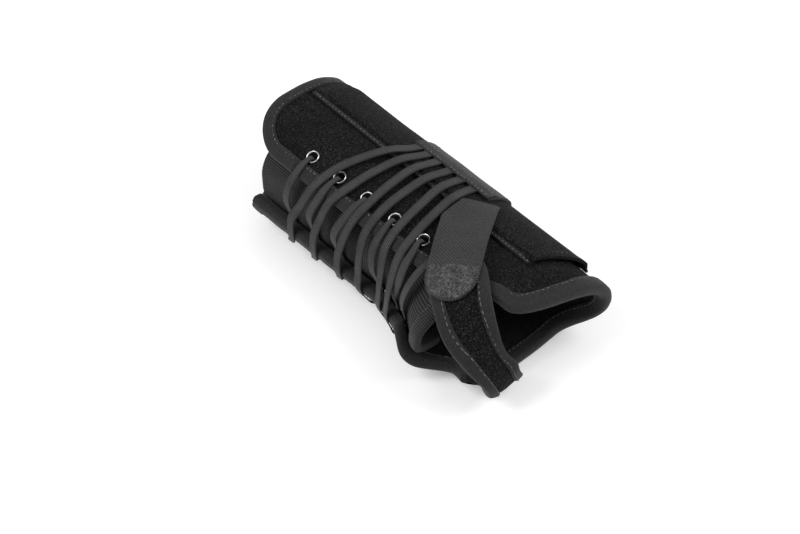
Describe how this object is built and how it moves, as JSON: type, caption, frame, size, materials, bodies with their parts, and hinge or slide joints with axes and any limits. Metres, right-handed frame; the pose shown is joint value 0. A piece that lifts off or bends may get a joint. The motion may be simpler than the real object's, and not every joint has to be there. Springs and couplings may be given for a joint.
{
  "type": "wrist splint",
  "caption": "Lace-up wrist splint for a left hand: a padded tube over forearm and palm, laced on the thumb side, with a thumb-web strap and stays in pockets.",
  "frame": {"origin": "middle of the flat underside of the palmar stay pocket, on which the splint rests", "axes": "+X along the arm towards the fingers, +Z towards the back of the hand, -Y towards the thumb"},
  "size_m": [0.1913, 0.0945, 0.0675],
  "materials": {
    "pile": "black loop pile on foam laminate",
    "tape": "black knitted binding tape",
    "knit": "charcoal ribbed knit",
    "webbing": "charcoal woven webbing",
    "hook": "black hook fastener",
    "lace": "dark grey flat braid",
    "eyelet_metal": "bright nickel plate",
    "stay_metal": "plain rolled strip"
  },
  "bodies": {
    "splint": {"dorsal_panel": "pile", "ulnar_panel": "pile", "palmar_panel": "pile", "dorsal_stay_pocket": "pile", "palmar_stay_pocket": "pile", "proximal_binding": "tape", "eyelet_edge_binding": "tape", "distal_binding": "tape", "palmar_edge_binding": "tape", "tongue": "knit", "tongue_hem": "knit", "lace_tab": "webbing", "lace_1": "lace", "lace_2": "lace", "lace_3": "lace", "lace_4": "lace", "lace_5": "lace", "lace_6": "lace", "eyelet_1": "eyelet_metal", "eyelet_2": "eyelet_metal", "eyelet_3": "eyelet_metal", "eyelet_4": "eyelet_metal", "eyelet_5": "eyelet_metal", "eyelet_6": "eyelet_metal", "palmar_eyelet_1": "eyelet_metal", "palmar_eyelet_2": "eyelet_metal", "palmar_eyelet_3": "eyelet_metal", "palmar_eyelet_4": "eyelet_metal", "palmar_eyelet_5": "eyelet_metal", "palmar_eyelet_6": "eyelet_metal"},
    "hook_tab": {"hook_tab": "webbing", "hook_patch": "hook"},
    "thumb_strap": {"thumb_strap": "pile", "thumb_strap_binding": "tape"},
    "closure_strap": {"closure_strap": "webbing", "closure_hook_patch": "hook"},
    "dorsal_stay": {"dorsal_stay": "stay_metal"},
    "palmar_stay": {"palmar_stay": "stay_metal"}
  },
  "joints": [
    {"name": "hook_tab_lift", "type": "hinge", "parent": "splint", "child": "hook_tab", "pos_m": [0.03432, 0.01814, 0.06101], "axis": [-0.7469, -0.6275, 0.22], "range_deg": [0, 120]},
    {"name": "thumb_strap_open", "type": "hinge", "parent": "splint", "child": "thumb_strap", "pos_m": [0.08586, -0.0263, 0.0065], "axis": [0, 0.9419, -0.3358], "range_deg": [0, 28]},
    {"name": "closure_strap_open", "type": "hinge", "parent": "splint", "child": "closure_strap", "pos_m": [0.008, 0.04166, 0.03555], "axis": [0.9987, 0.0025, -0.0514], "range_deg": [0, 100]},
    {"name": "dorsal_stay_slide", "type": "slide", "parent": "splint", "child": "dorsal_stay", "axis": [0.9989, 0, -0.0479], "range_m": [0, 0.11]},
    {"name": "palmar_stay_slide", "type": "slide", "parent": "splint", "child": "palmar_stay", "axis": [-1, 0, 0], "range_m": [0, 0.12]}
  ],
  "couplings": [
    {"joint": "thumb_strap_open", "follows": "hook_tab_lift", "ratio": 0.23}
  ]
}
